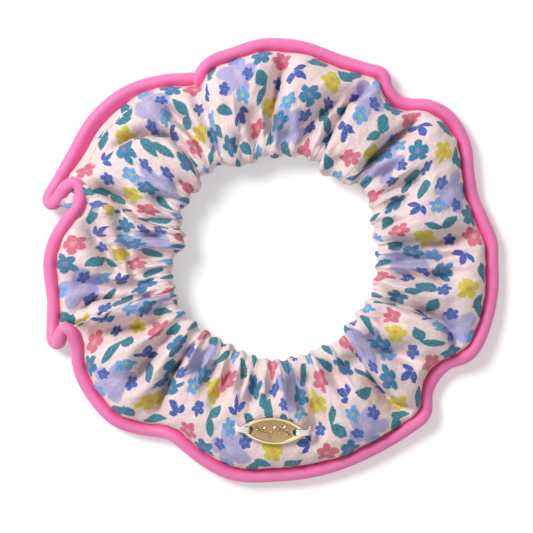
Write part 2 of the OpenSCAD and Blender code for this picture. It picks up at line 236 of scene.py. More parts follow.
def grid_mesh(name, points, closed_u, uv):
    """A tube through rings of points, in metres. uv gives each corner's place on the cloth."""
    rows, cols = points.shape[:2]
    faces, corners = [], []
    for i in range(rows if closed_u else rows - 1):
        for j in range(cols):
            i2, j2 = (i + 1) % rows, (j + 1) % cols
            faces.append((i * cols + j, i * cols + j2, i2 * cols + j2, i2 * cols + j))
            corners += [(i, j), (i, j + 1), (i + 1, j + 1), (i + 1, j)]
    if not closed_u:
        faces += [tuple(range(cols - 1, -1, -1)), tuple(range((rows - 1) * cols, rows * cols))]
        corners += [(0, j) for j in range(cols - 1, -1, -1)]
        corners += [(rows - 1, j) for j in range(cols)]
    mesh = bpy.data.meshes.new(name)
    mesh.from_pydata(points.reshape(-1, 3).tolist(), [], faces)
    layer = mesh.uv_layers.new(name="cloth")
    layer.data.foreach_set("uv", [c for i, j in corners for c in uv(i, j)])
    mesh.update()
    return mesh


def swept_mesh(name, paths, radius, roundness=2):
    """Round threads or cords along open paths of points in millimetres."""
    curve = bpy.data.curves.new(name, "CURVE")
    curve.dimensions = "3D"
    curve.bevel_depth = radius * MM
    curve.bevel_resolution = roundness
    curve.use_fill_caps = True
    for path in paths:
        line = curve.splines.new("POLY")
        line.points.add(len(path) - 1)
        line.points.foreach_set("co", np.column_stack([path[:, :3] * MM, np.ones(len(path))]).ravel())
    maker = bpy.data.objects.new(name, curve)
    bpy.context.scene.collection.objects.link(maker)
    mesh = bpy.data.meshes.new_from_object(maker)
    bpy.data.objects.remove(maker)
    bpy.data.curves.remove(curve)
    return mesh


def drawn_open(piece):
    """A sewn soft piece, with its placement baked into its mesh."""
    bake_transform(piece)


# ---------------------------------------------------------------- the piping's route
def spline(points, steps):
    """A Catmull-Rom curve through rows of numbers."""
    pts = np.array(points, float)
    out = []
    last = len(pts) - 1
    for i in range(last):
        a, b = pts[max(i - 1, 0)], pts[i]
        c, d = pts[i + 1], pts[min(i + 2, last)]
        for s in range(steps):
            k = s / steps
            out.append(b + (c - a) * k / 2 + (a - 2.5 * b + 2 * c - d / 2) * k ** 2
                       + (1.5 * b - a / 2 - 1.5 * c + d / 2) * k ** 3)
    out.append(pts[last])
    return np.array(out)


def resample(path, spacing=None, count=None):
    """Points spaced evenly along an open path, and the path's length."""
    gaps = np.linalg.norm(np.diff(path[:, :3], axis=0), axis=1)
    along = np.concatenate([[0], np.cumsum(gaps)])
    count = count or int(round(along[-1] / spacing)) + 1
    want = np.linspace(0, along[-1], count)
    return np.stack([np.interp(want, along, path[:, k]) for k in range(path.shape[1])], 1), along[-1]


def polar_to_xyz(polar):
    """Places on the route as x, y, z and their angle."""
    r = RING_R + polar[:, 1]
    a = np.radians(polar[:, 0])
    return np.stack([r * np.cos(a), r * np.sin(a), SEAM_LOW + polar[:, 2], polar[:, 0]], 1)


# ---------------------------------------------------------------- camera, lights and floor
def camera():
    """A long lens, looking straight down."""
    data = bpy.data.cameras.new("camera")
    data.lens = 200
    data.sensor_width = 36
    data.clip_start = 0.05
    width = 0.1386                      # what the view takes in at the floor
    piece = bpy.data.objects.new("camera", data)
    bpy.context.scene.collection.objects.link(piece)
    piece.location = (-0.0009, -0.0014, data.lens * width / data.sensor_width)
    bpy.context.scene.camera = piece


def lamp(name, place, size, power):
    """A round softbox, aimed at the object."""
    data = bpy.data.lights.new(name, "AREA")
    data.shape = "DISK"
    data.size = size
    data.energy = power
    piece = bpy.data.objects.new(name, data)
    bpy.context.scene.collection.objects.link(piece)
    piece.location = place
    piece.rotation_euler = (-Vector(place)).to_track_quat("-Z", "Y").to_euler()


def studio():
    """A white floor, a key light from the far left and a weak fill from the near side."""
    lamp("key_light", (-0.54, 0.44, 0.78), 0.46, 9.9)
    lamp("fill_light", (0.10, -0.50, 0.80), 0.60, 1.1)
    world = bpy.data.worlds.new("studio")
    world.use_nodes = True
    back = world.node_tree.nodes["Background"]
    back.inputs["Color"].default_value = linear("#ffffff")
    back.inputs["Strength"].default_value = 0.35
    bpy.context.scene.world = world
    bpy.context.scene.view_settings.view_transform = "Standard"
    bm = bmesh.new()
    bmesh.ops.create_grid(bm, x_segments=2, y_segments=2, size=2.0)
    mesh = bpy.data.meshes.new("floor")
    bm.to_mesh(mesh)
    bm.free()
    link("floor", mesh, white_paper_sweep(), smooth=False)


# ---------------------------------------------------------------- materials
def material(name, roughness):
    made = bpy.data.materials.new(name)
    made.use_nodes = True
    shader = made.node_tree.nodes["Principled BSDF"]
    shader.inputs["Roughness"].default_value = roughness
    return made, made.node_tree, shader


def add(tree, kind, settings=None, **inputs):
    """Add a node. settings are its own options; inputs are its sockets' values or links,
    by name with _ for a space, or by number after n."""
    node = tree.nodes.new(kind)
    for key, value in (settings or {}).items():
        setattr(node, key, value)
    for key, value in inputs.items():
        socket = node.inputs[int(key[1:])] if key[1:].isdigit() else node.inputs[key.replace("_", " ")]
        if isinstance(value, bpy.types.NodeSocket):
            tree.links.new(value, socket)
        else:
            socket.default_value = value
    return node


def white_paper_sweep():
    made, tree, shader = material("white_paper_sweep", 0.9)
    shader.inputs["Base Color"].default_value = linear("#ececec")
    shader.inputs["Specular IOR Level"].default_value = 0.1
    shader.inputs["Emission Color"].default_value = linear("#ffffff")
    shader.inputs["Emission Strength"].default_value = 0.26
    return made


def sockets(group, side, **named):
    for name, kind in named.items():
        group.interface.new_socket(name, in_out=side, socket_type="NodeSocket" + kind)


def flower_shape():
    """Five round petals that reach 1 from the middle, and an eye."""
    group = bpy.data.node_groups.new("flower_shape", "ShaderNodeTree")
    sockets(group, "INPUT", Place="Vector")
    sockets(group, "OUTPUT", Ink="Float", Eye="Float")
    place = add(group, "NodeGroupInput").outputs["Place"]
    xyz = add(group, "ShaderNodeSeparateXYZ", Vector=place).outputs
    around = add(group, "ShaderNodeMath", {"operation": "ARCTAN2"}, n0=xyz["Y"], n1=xyz["X"]).outputs[0]
    half_turns = add(group, "ShaderNodeMath", {"operation": "MULTIPLY"}, n0=around, n1=2.5).outputs[0]
    wave = add(group, "ShaderNodeMath", {"operation": "COSINE"}, n0=half_turns).outputs[0]
    lobe = add(group, "ShaderNodeMath", {"operation": "ABSOLUTE"}, n0=wave).outputs[0]
    lobe = add(group, "ShaderNodeMath", {"operation": "POWER"}, n0=lobe, n1=0.7).outputs[0]
    edge = add(group, "ShaderNodeMath", {"operation": "MULTIPLY_ADD"}, n0=lobe, n1=0.42, n2=0.58).outputs[0]
    out = add(group, "ShaderNodeVectorMath", {"operation": "LENGTH"}, n0=place).outputs["Value"]
    inside = add(group, "ShaderNodeMath", {"operation": "SUBTRACT"}, n0=edge, n1=out).outputs[0]
    ink = add(group, "ShaderNodeMapRange", {"interpolation_type": "SMOOTHSTEP"},
              Value=inside, From_Min=-0.03, From_Max=0.13)
    eye = add(group, "ShaderNodeMapRange", {"interpolation_type": "SMOOTHSTEP"},
              Value=out, From_Min=0.3, From_Max=0.14)
    add(group, "NodeGroupOutput", Ink=ink.outputs[0], Eye=eye.outputs[0])
    return group


def leaf_shape(name, half_width):
    """A pointed leaf that reaches 1 each way along X."""
    group = bpy.data.node_groups.new(name, "ShaderNodeTree")
    sockets(group, "INPUT", Place="Vector")
    sockets(group, "OUTPUT", Ink="Float")
    xyz = add(group, "ShaderNodeSeparateXYZ", Vector=add(group, "NodeGroupInput").outputs["Place"]).outputs
    square = add(group, "ShaderNodeMath", {"operation": "MULTIPLY"}, n0=xyz["X"], n1=xyz["X"]).outputs[0]
    edge = add(group, "ShaderNodeMath", {"operation": "MULTIPLY_ADD"}, n0=square,
               n1=-half_width, n2=half_width).outputs[0]
    off = add(group, "ShaderNodeMath", {"operation": "ABSOLUTE"}, n0=xyz["Y"]).outputs[0]
    inside = add(group, "ShaderNodeMath", {"operation": "SUBTRACT"}, n0=edge, n1=off).outputs[0]
    ink = add(group, "ShaderNodeMapRange", {"interpolation_type": "SMOOTHSTEP"},
              Value=inside, From_Min=-0.02, From_Max=0.1)
    add(group, "NodeGroupOutput", Ink=ink.outputs[0])
    return group


def sprig_shape(leaf):
    """Three leaves from one foot."""
    group = bpy.data.node_groups.new("sprig_shape", "ShaderNodeTree")
    sockets(group, "INPUT", Place="Vector")
    sockets(group, "OUTPUT", Ink="Float")
    place = add(group, "NodeGroupInput").outputs["Place"]
    ink = None
    for turn, length in ((0, 1.0), (56, 0.78), (-56, 0.78)):
        size = 2 / (0.95 * length)
        spot = add(group, "ShaderNodeMapping", Vector=place, Location=(-1.1, 0, 0),
                   Rotation=(0, 0, math.radians(turn)), Scale=(size, size, 1)).outputs[0]
        one = add(group, "ShaderNodeGroup", {"node_tree": leaf}, Place=spot).outputs[0]
        ink = one if ink is None else add(group, "ShaderNodeMath", {"operation": "MAXIMUM"},
                                          n0=ink, n1=one).outputs[0]
    add(group, "NodeGroupOutput", Ink=ink)
    return group


def cotton_print():
    """Plain-weave cotton lawn, pigment printed: matt, with small flowers in slightly patchy ink."""
    made, tree, shader = material("printed_cotton_lawn", 0.88)
    shapes = {"flower": flower_shape(), "leaf": leaf_shape("leaf_shape", 0.54),
              "sprig": sprig_shape(leaf_shape("sprig_leaf", 0.50))}
    cloth = add(tree, "ShaderNodeUVMap", {"uv_map": "cloth"}).outputs[0]
    mm = add(tree, "ShaderNodeVectorMath", {"operation": "SCALE"}, Vector=cloth, Scale=1 / MM).outputs[0]
    # The screens' edges wander by about a thread, 0.25 mm.
    rough = add(tree, "ShaderNodeTexNoise", Vector=mm, Scale=1.6, Detail=2.0).outputs["Color"]
    shift = add(tree, "ShaderNodeVectorMath", {"operation": "MULTIPLY_ADD"}, n0=rough,
                n1=(0.7, 0.7, 0), n2=(-0.35, -0.35, 0)).outputs[0]
    spot = add(tree, "ShaderNodeVectorMath", {"operation": "ADD"}, n0=mm, n1=shift).outputs[0]
    # The ground's tone drifts over about 8 mm.
    tone = add(tree, "ShaderNodeTexNoise", Vector=mm, Scale=0.12, Detail=2.0).outputs["Fac"]
    ground = add(tree, "ShaderNodeMix", {"data_type": "RGBA"}, n0=tone,
                 n6=linear("#eed8d6"), n7=linear("#e5cdcd")).outputs[2]
    colour = ground
    half = (REPEAT[0] / 2, REPEAT[1] / 2, 1)
    for kind, across, up, turn, size in MOTIFS:
        shape, ink, eye = INKS[kind]
        near = add(tree, "ShaderNodeVectorMath", {"operation": "SUBTRACT"}, n0=spot, n1=(across, up, 0))
        near = add(tree, "ShaderNodeVectorMath", {"operation": "WRAP"}, n0=near.outputs[0],
                   n1=half, n2=tuple(-h for h in half))
        place = add(tree, "ShaderNodeMapping", Vector=near.outputs[0], Scale=(2 / size, 2 / size, 1),
                    Rotation=(0, 0, math.radians(turn))).outputs[0]
        drawn = add(tree, "ShaderNodeGroup", {"node_tree": shapes[shape]}, Place=place).outputs
        colour = add(tree, "ShaderNodeMix", {"data_type": "RGBA"}, n0=drawn["Ink"],
                     n6=colour, n7=linear(ink)).outputs[2]
        if eye:
            colour = add(tree, "ShaderNodeMix", {"data_type": "RGBA"}, n0=drawn["Eye"],
                         n6=colour, n7=linear(eye)).outputs[2]
    # Pigment sits on the threads' tops, so the ground shows faintly through in specks under 1 mm.
    specks = add(tree, "ShaderNodeTexNoise", Vector=mm, Scale=2.2, Detail=3.0).outputs["Fac"]
    worn = add(tree, "ShaderNodeMapRange", Value=specks, From_Min=0.42, From_Max=0.75, To_Max=0.2)
    colour = add(tree, "ShaderNodeMix", {"data_type": "RGBA"}, n0=worn.outputs[0],
                 n6=colour, n7=ground).outputs[2]
    # Slubs and uneven dye: grain from 1 mm down to 0.15 mm, 10% either way.
    slubs = add(tree, "ShaderNodeTexNoise", Vector=mm, Scale=1.1, Detail=4.0, Roughness=0.75).outputs["Fac"]
    grain = add(tree, "ShaderNodeMapRange", Value=slubs, From_Min=0.32, From_Max=0.68,
                To_Min=0.88, To_Max=1.08).outputs[0]
    colour = add(tree, "ShaderNodeMix", {"data_type": "RGBA", "blend_type": "MULTIPLY"}, n0=1.0,
                 n6=colour, n7=grain).outputs[2]
    tree.links.new(colour, shader.inputs["Base Color"])
    # Real lawn has about 0.25 mm between threads. It is drawn at 0.5 mm, so that it shows.
    turns = add(tree, "ShaderNodeVectorMath", {"operation": "SCALE"}, Vector=mm, Scale=math.pi / 0.5)
    sines = add(tree, "ShaderNodeVectorMath", {"operation": "SINE"}, n0=turns.outputs[0]).outputs[0]
    xyz = add(tree, "ShaderNodeSeparateXYZ", Vector=sines).outputs
    weave = add(tree, "ShaderNodeMath", {"operation": "MULTIPLY"}, n0=xyz["X"], n1=xyz["Y"]).outputs[0]
    thread_bump = add(tree, "ShaderNodeBump", Height=weave, Strength=0.5, Distance=0.00005)
    # Soft crumples about 2 mm across.
    crumple = add(tree, "ShaderNodeTexNoise", Vector=mm, Scale=0.5, Detail=4.0).outputs["Fac"]
    crumpled = add(tree, "ShaderNodeBump", Height=crumple, Strength=0.6, Distance=0.0006,
                   Normal=thread_bump.outputs[0])
    # Small pleats run in from the elastic, 3 to 5 mm apart on the flat cloth.
    long = add(tree, "ShaderNodeVectorMath", {"operation": "MULTIPLY"}, n0=mm, n1=(0.3, 0.06, 0))
    pleats = add(tree, "ShaderNodeTexNoise", Vector=long.outputs[0], Scale=1.0, Detail=2.0,
                 Distortion=0.3).outputs["Fac"]
    up = add(tree, "ShaderNodeSeparateXYZ", Vector=mm).outputs["Y"]
    to_fold = add(tree, "ShaderNodeMath", {"operation": "SUBTRACT"}, n0=up, n1=LEAF).outputs[0]
    to_fold = add(tree, "ShaderNodeMath", {"operation": "ABSOLUTE"}, n0=to_fold).outputs[0]
    drawn_in = add(tree, "ShaderNodeMapRange", Value=to_fold, From_Min=26.0, From_Max=6.0).outputs[0]
    bump = add(tree, "ShaderNodeBump", Height=pleats, Strength=drawn_in, Distance=0.0013,
               Normal=crumpled.outputs[0])
    tree.links.new(bump.outputs[0], shader.inputs["Normal"])
    shader.inputs["Specular IOR Level"].default_value = 0.2
    shader.inputs["Sheen Weight"].default_value = 0.15
    shader.inputs["Sheen Roughness"].default_value = 0.5
    return made


def piping_satin():
    """Knitted polyester satin, cut on the bias: soft gloss, with painted shade of deeper pink in towards
    the seam.
    """
    made, tree, shader = material("bias_cut_satin_piping", 0.48)
    cloth = add(tree, "ShaderNodeUVMap", {"uv_map": "cloth"}).outputs[0]
    xyz = add(tree, "ShaderNodeSeparateXYZ", Vector=cloth).outputs
    # V runs round the tube from the seam, so 0 and 1 both face the cotton.
    round_it = add(tree, "ShaderNodeMath", {"operation": "SUBTRACT"}, n0=xyz["Y"], n1=0.5).outputs[0]
    round_it = add(tree, "ShaderNodeMath", {"operation": "ABSOLUTE"}, n0=round_it).outputs[0]
    # Painted shade: the colour deepens to hot pink towards the seam, where the cover turns in against the
    # cotton.
    painted_seam_shade = add(tree, "ShaderNodeMapRange", {"interpolation_type": "SMOOTHSTEP"},
                   Value=round_it, From_Min=0.2, From_Max=0.44).outputs[0]
    place = add(tree, "ShaderNodeTexCoord").outputs["Object"]
    # The dye varies in patches about 5 mm across.
    tone = add(tree, "ShaderNodeTexNoise", Vector=place, Scale=180.0, Detail=3.0).outputs["Fac"]
    pink = add(tree, "ShaderNodeMix", {"data_type": "RGBA"}, n0=tone,
               n6=linear("#ec82b6"), n7=linear("#e674aa")).outputs[2]
    colour = add(tree, "ShaderNodeMix", {"data_type": "RGBA"}, n0=painted_seam_shade,
                 n6=pink, n7=linear("#e5508c")).outputs[2]
    tree.links.new(colour, shader.inputs["Base Color"])
    # Cross wrinkles 1.5 to 3 mm apart, where the bias strip is eased round the cord.
    stretch = add(tree, "ShaderNodeVectorMath", {"operation": "MULTIPLY"}, n0=cloth,
                  n1=(1 / (2.2 * MM), 1.6, 0)).outputs[0]
    wrinkle = add(tree, "ShaderNodeTexNoise", Vector=stretch, Scale=1.0, Detail=3.0).outputs["Fac"]
    bump = add(tree, "ShaderNodeBump", Height=wrinkle, Strength=0.5, Distance=0.0004)
    # Knitted loops about 0.3 mm across.
    grain = add(tree, "ShaderNodeTexNoise", Vector=place, Scale=3500.0, Detail=1.0).outputs["Fac"]
    fine = add(tree, "ShaderNodeBump", Height=grain, Strength=0.25, Distance=0.00004,
               Normal=bump.outputs[0])
    tree.links.new(fine.outputs[0], shader.inputs["Normal"])
    shader.inputs["Sheen Weight"].default_value = 0.12
    shader.inputs["Sheen Roughness"].default_value = 0.4
    shader.inputs["Specular IOR Level"].default_value = 0.35
    return made


def spun_fibre(name, pale, groove_shade, roughness, pitch):
    """Fibre twisted or braided into cord: matt, with slanting ridges about pitch mm apart, and painted
    shade in their grooves.
    """
    made, tree, shader = material(name, roughness)
    place = add(tree, "ShaderNodeTexCoord").outputs["Object"]
    ridges = add(tree, "ShaderNodeTexWave", {"bands_direction": "DIAGONAL"}, Vector=place,
                 Scale=0.5 / (pitch * MM), Distortion=1.5, Detail=2.0).outputs["Fac"]
    # Painted shade: the colour runs from pale on the ridges to darker in the grooves between them.
    colour = add(tree, "ShaderNodeMix", {"data_type": "RGBA"}, n0=ridges,
                 n6=linear(groove_shade), n7=linear(pale)).outputs[2]
    tree.links.new(colour, shader.inputs["Base Color"])
    bump = add(tree, "ShaderNodeBump", Height=ridges, Strength=0.6, Distance=pitch * MM / 5)
    tree.links.new(bump.outputs[0], shader.inputs["Normal"])
    shader.inputs["Sheen Weight"].default_value = 0.3
    return made


def gilt_brass():
    """Die-struck brass, gold plated: a sand-textured ground between a polished rim and scroll."""
    made, tree, shader = material("die_struck_gilt_brass", 0.25)
    shader.inputs["Metallic"].default_value = 1.0
    place = add(tree, "ShaderNodeTexCoord").outputs["Object"]
    struck = add(tree, "ShaderNodeAttribute", {"attribute_name": "ground"}).outputs["Fac"]
    # Sand grains about 0.15 mm across, and plating that is duller in patches of 2 mm.
    sand = add(tree, "ShaderNodeTexNoise", Vector=place, Scale=6500.0, Detail=2.0).outputs["Fac"]
    wear = add(tree, "ShaderNodeTexNoise", Vector=place, Scale=500.0, Detail=3.0).outputs["Fac"]
    gold = add(tree, "ShaderNodeMix", {"data_type": "RGBA"}, n0=wear,
               n6=linear("#dcc7a4"), n7=linear("#c9ae86")).outputs[2]
    colour = add(tree, "ShaderNodeMix", {"data_type": "RGBA"}, n0=struck,
                 n6=gold, n7=linear("#cdb083")).outputs[2]
    tree.links.new(colour, shader.inputs["Base Color"])
    dull = add(tree, "ShaderNodeMapRange", Value=struck, To_Min=0.2, To_Max=0.45).outputs[0]
    tree.links.new(dull, shader.inputs["Roughness"])
    height = add(tree, "ShaderNodeMath", {"operation": "MULTIPLY"}, n0=sand, n1=struck).outputs[0]
    bump = add(tree, "ShaderNodeBump", Height=height, Strength=1.0, Distance=0.00008)
    tree.links.new(bump.outputs[0], shader.inputs["Normal"])
    return made


# ---------------------------------------------------------------- the sleeve
COLS = 280             # round the ring
ROWS = 40              # round the tube: the seam, over the top leaf to the fold, and back
SIM_SCALE = 10.0       # the cloth solver's defaults suit things about a metre across
SIM_FRAMES = 40
SHAKE = 0.3            # spread of the seeded nudges that start the folds, in millimetres
# Thin cotton: hard to stretch, easy to bend, and blown up a little from inside.
COTTON_CLOTH = {
    "quality": 6, "mass": 0.15, "tension_stiffness": 80, "compression_stiffness": 80,
    "shear_stiffness": 5, "bending_stiffness": 0.001, "tension_damping": 2,
    "compression_damping": 2, "shear_damping": 2, "air_damping": 1,
    "use_pressure": True, "uniform_pressure_force": 0.1,
}


def seam_line(route, count):
    """The seam that closes the sleeve's outer edge, just inside the piping."""
    loop = np.vstack([route, route[:1]])
    loop[-1, 3] -= 360
    closed, length = resample(loop, count=count + 1)
    closed = closed[:-1]
    radius = np.hypot(closed[:, 0], closed[:, 1])
    closed[:, :2] *= ((radius - PIPING_R - 0.1) / radius)[:, None]
    return closed, length


def opening_angles(seam_angles):
    """The angle at which each column meets the opening: the seam's, evened out over a quarter
    of the ring, and drawn to END_SEAM_AT_FOLD at the join."""
    count = len(seam_angles)
    wide = count // 8
    trend = np.linspace(0, -360, count, endpoint=False)
    wander = np.concatenate([seam_angles - trend] * 3)
    kernel = np.hanning(2 * wide + 1)
    even = trend + np.convolve(wander, kernel / kernel.sum(), "same")[count:2 * count]
    from_join = np.minimum(np.arange(count), count - np.arange(count))
    return even + (END_SEAM_AT_FOLD - even[0]) * np.exp(-(from_join / (count / 14)) ** 2)


def crease_field(x, y, widths=(2.2, 3.3, 5.4, 7.2)):
    """At places in plan: 0 on a gather's crown to 1 in a full crease, and the way it leans.
    widths are the gathers' half widths at four distances from the middle."""
    field = np.zeros_like(x)
    leaning = np.zeros((*x.shape, 2))
    for depth, lean, *places in CREASES:
        spots = np.array([[r * math.cos(math.radians(a)), r * math.sin(math.radians(a))]
                          for r, a in places])
        spans = np.linalg.norm(np.diff(spots, axis=0), axis=1)
        best = np.full(x.shape, 1e9)
        side, reach = np.zeros_like(x), np.zeros_like(x)
        to_line = np.zeros((*x.shape, 2))
        done = 0.0
        for p, q, span in zip(spots[:-1], spots[1:], spans):
            v = (q - p) / span
            held = (x - p[0]) * v[0] + (y - p[1]) * v[1]
            held = np.clip(held, 0 if done else -CREASE_RUN_IN, span)
            off = np.stack([p[0] + held * v[0] - x, p[1] + held * v[1] - y], -1)
            d = np.linalg.norm(off, axis=-1)
            near = d < best
            best = np.where(near, d, best)
            side = np.where(near, v[1] * off[..., 0] - v[0] * off[..., 1], side)
            reach = np.where(near, (done + held) / spans.sum(), reach)
            to_line = np.where(near[..., None], off, to_line)
            done += span
        width = np.interp(np.hypot(x, y), [24, 30, 42, 54], widths)
        width = width * np.where(side > 0, 1 + 0.65 * lean, 1 - 0.65 * lean)
        strength = depth * (1 - smoothstep(0.75, 1.1, reach))
        field = np.maximum(field, strength * np.clip(1 - best / width, 0, 1) ** 1.8)
        steep = (side * lean < 0) * abs(lean) * strength
        push = steep * FLAP_REACH * np.exp(-best / 5) * (1 - np.exp(-best / 0.6))
        leaning += to_line / np.maximum(best, 1e-6)[..., None] * push[..., None]
    return field, leaning


def sleeve_start(seam):
    """The gathered sleeve before it relaxes: columns of points from the seam over the top."""
    inner = opening_angles(seam[:, 3])
    fold_r = edge_radius(inner)
    angles = np.radians(inner)
    fold = np.column_stack([fold_r * np.cos(angles), fold_r * np.sin(angles)])
    at_fold, _ = crease_field(fold[:, 0], fold[:, 1])
    fold *= (1 + 2.0 * at_fold / fold_r)[:, None]
    half = ROWS // 2
    turn = np.linspace(0, math.pi, 160)
    share = (1 + np.cos(turn)) / 2
    rise = np.sin(turn) ** 0.7
    points = np.zeros((COLS, ROWS, 3))
    flat = fold[:, None, :] + (seam[:, None, :2] - fold[:, None, :]) * share[None, :, None]
    crease, leaning = crease_field(flat[..., 0], flat[..., 1])
    for c in range(COLS):
        middle = ELASTIC_Z + (seam[c, 2] - ELASTIC_Z) * share ** 1.6
        over = middle + rise * (PUFF_UP - CREASE_UP * crease[c])
        below = np.maximum(middle - rise * (PUFF_DOWN - CREASE_DOWN * crease[c]), 0.3)
        folded = flat[c] + leaning[c] * rise[:, None]
        top, _ = resample(np.column_stack([folded, over]), count=half + 1)
        under, _ = resample(np.column_stack([flat[c], below]), count=half + 1)
        points[c, :half + 1] = top
        points[c, half:] = under[::-1][:half]
    return points


def flat_tube(length):
    """The cloth's true size: a flattened tube, length round and two leaves across."""
    radius = length / (2 * math.pi)
    a = np.linspace(0, -2 * math.pi, COLS, endpoint=False)
    t = np.linspace(0, 2 * math.pi, ROWS, endpoint=False)
    off = radius + 0.6 * np.sin(t)
    points = np.zeros((COLS, ROWS, 3))
    points[..., 0] = off[None, :] * np.cos(a)[:, None]
    points[..., 1] = off[None, :] * np.sin(a)[:, None]
    points[..., 2] = (LEAF / 2 * (2 * np.abs(t / math.pi - 1) - 1))[None, :]
    return points


def relax(points, length):
    """Blender's cloth solver lets the gathers find their folds, held at the seam and fold."""
    scale = MM * SIM_SCALE
    mesh = grid_mesh("relaxing", points * scale, True, lambda i, j: (i, j))
    piece = link("relaxing", mesh)
    piece.shape_key_add(name="Basis")
    key = piece.shape_key_add(name="cut")
    key.data.foreach_set("co", (flat_tube(length) * scale).reshape(-1))
    key.value = 0.0
    held = piece.vertex_groups.new(name="held")
    held.add([c * ROWS + j for c in range(COLS) for j in (0, ROWS // 2)], 1.0, "REPLACE")
    cloth = piece.modifiers.new("cloth", "CLOTH")
    for setting, value in COTTON_CLOTH.items():
        setattr(cloth.settings, setting, value)
    cloth.settings.vertex_group_mass = "held"
    cloth.settings.rest_shape_key = key
    cloth.settings.effector_weights.gravity = 0.0
    cloth.collision_settings.use_collision = False
    cloth.collision_settings.use_self_collision = False
    cloth.point_cache.frame_start = 1
    cloth.point_cache.frame_end = SIM_FRAMES
    for f in range(1, SIM_FRAMES + 1):
        bpy.context.scene.frame_set(f)
    done = piece.evaluated_get(bpy.context.evaluated_depsgraph_get())
    out = np.zeros(len(mesh.vertices) * 3)
    done.data.vertices.foreach_get("co", out)
    bpy.context.scene.frame_set(1)
    bpy.data.objects.remove(piece)
    return out.reshape(points.shape) / scale


def edge_radius(degrees):
    """The radius of the sleeve's fold round the opening."""
    edge = np.array([[a - turn, r] for turn in (-360, 0, 360) for a, r in OPENING_EDGE], float)
    return np.interp(-np.asarray(degrees, float), -edge[:, 0], edge[:, 1])


def elastic_radius(degrees):
    """The elastic's inner face, which evens out the fold's bends."""
    spread = np.arange(-16, 17, 2)
    weight = np.hanning(len(spread) + 2)[1:-1]
    near = sum(w * edge_radius(np.asarray(degrees, float) + d) for w, d in zip(weight, spread))
    return near / weight.sum() + ELASTIC_IN


def clear_elastic(points):
    """The cotton wraps the elastic: beside it at the fold, then over it and under it."""
    radius = np.hypot(points[..., 0], points[..., 1])
    around = np.degrees(np.arctan2(points[..., 1], points[..., 0]))
    around = np.where(around > 90, around - 360, around)
    centre = elastic_radius(around) + ELASTIC_T / 2
    out = radius - centre
    steps = np.arange(ROWS) - ROWS // 2
    side = np.where(steps <= 0, 1, -1)[None, :]
    from_fold = np.abs(steps)[None, :]
    up = side * (points[..., 2] - ELASTIC_Z)
    half_t = ELASTIC_T / 2 + CASING_ROOM + COTTON_T
    half_w = ELASTIC_W / 2 + CASING_ROOM + COTTON_T
    # The fold and the two rows beside it climb the elastic's inner face.
    inner = from_fold <= 2
    beside = half_t * np.interp(from_fold, [0, 1, 2], [1.4, 1.35, 1.1])
    climb = np.interp(from_fold, [0, 1, 2], [0, 1.6, 3.3])
    out = np.where(inner, np.minimum(out, -beside), out)
    up = np.where(inner & (from_fold > 0), np.maximum(up, climb), up)
    # The next rows, to the eighth, arch over its edge and come down 3.6 mm from its middle.
    over = half_w * (1 - (np.maximum(np.abs(out) - 1, 0) / 2.6).clip(0, 1) ** 2)
    over = np.where((from_fold == 3) & (out > -1), np.maximum(over, 0.9 * half_w), over)
    up = np.where(~inner & (from_fold < 9), np.maximum(up, over), up)
    points[..., 2] = ELASTIC_Z + side * up
    scale = (centre + out) / radius
    points[..., 0] *= scale
    points[..., 1] *= scale


def clear_tag(points):
    """The cotton dips under the tag and a little beyond it."""
    beyond = 1.5
    local = (points - TAG_AT / MM) @ TAG_AXES
    across = np.hypot(local[..., 0] / (TAG_L / 2 + beyond), local[..., 1] / (TAG_W / 2 + beyond))
    over = local[..., 2] + TAG_T / 2 + TAG_ROOM
    near = 1 - smoothstep(0.75, 1.5, across)
    points[..., 2] -= np.maximum(over, 0) * near * (points[..., 2] > ELASTIC_Z)


def sleeve_points(seam, length):
    """The finished sleeve: relaxed, creased, wrapped round the elastic, and sewn."""
    points = sleeve_start(seam)
    rng = np.random.default_rng(5)
    shake = rng.normal(0, SHAKE, points.shape)
    shake[:, [0, ROWS // 2]] = 0
    points = relax(points + shake, length)
    # Each crease ends in a sharp valley, shallower near seam and fold, and the gathers that
    # lean lap over it.
    top = points[:, 1:ROWS // 2]
    valley, leaning = crease_field(top[..., 0], top[..., 1], (1.0, 1.4, 2.0, 2.4))
    full = np.interp(np.arange(1, ROWS // 2), [1, 4, 17, 19], [0.2, 1, 1, 0.3])
    top[..., 2] -= VALLEY * valley ** 0.6 * full
    top[..., :2] += 0.5 * leaning
    clear_elastic(points)
    clear_tag(points)
    # The row that closes the turning gap presses a flat band beside the piping.
    pressed = smoothstep(*BAND_STARTS, seam[:, 3]) * (1 - smoothstep(*BAND_ENDS, seam[:, 3]))
    for row, (inward, lift, share) in enumerate(BAND, 1):
        spot = seam[:, :3].copy()
        spot[:, :2] *= 1 - inward / np.hypot(seam[:, 0], seam[:, 1])[:, None]
        spot[:, 2] += lift
        points[:, row] += (spot - points[:, row]) * pressed[:, None] * share
    # The tube's ends are joined in a plain seam, which draws the top leaf down in a line.
    for step, dip in ((0, 1.6), (1, 0.3), (-1, 0.3)):
        points[step, 2:ROWS // 2 - 1, 2] -= dip
    points[..., 2] = np.maximum(points[..., 2], 0.25)      # it lies on the floor
    return points


def sleeve(points, length):
    """The printed tube of cotton, as one sheet."""
    mesh = grid_mesh("printed_sleeve", points * MM, True,
                     lambda i, j: (i / COLS * length * MM, j / ROWS * 2 * LEAF * MM))
    piece = link("printed_sleeve", mesh, cotton_print())
    soften = piece.modifiers.new("soften", "SUBSURF")
    soften.levels = soften.render_levels = 1
    thick = piece.modifiers.new("cotton_thickness", "SOLIDIFY")
    thick.thickness = COTTON_T * MM
    thick.offset = -1
    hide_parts("sleeve_near", "sleeve_far")
    drawn_open(piece)
    return piece


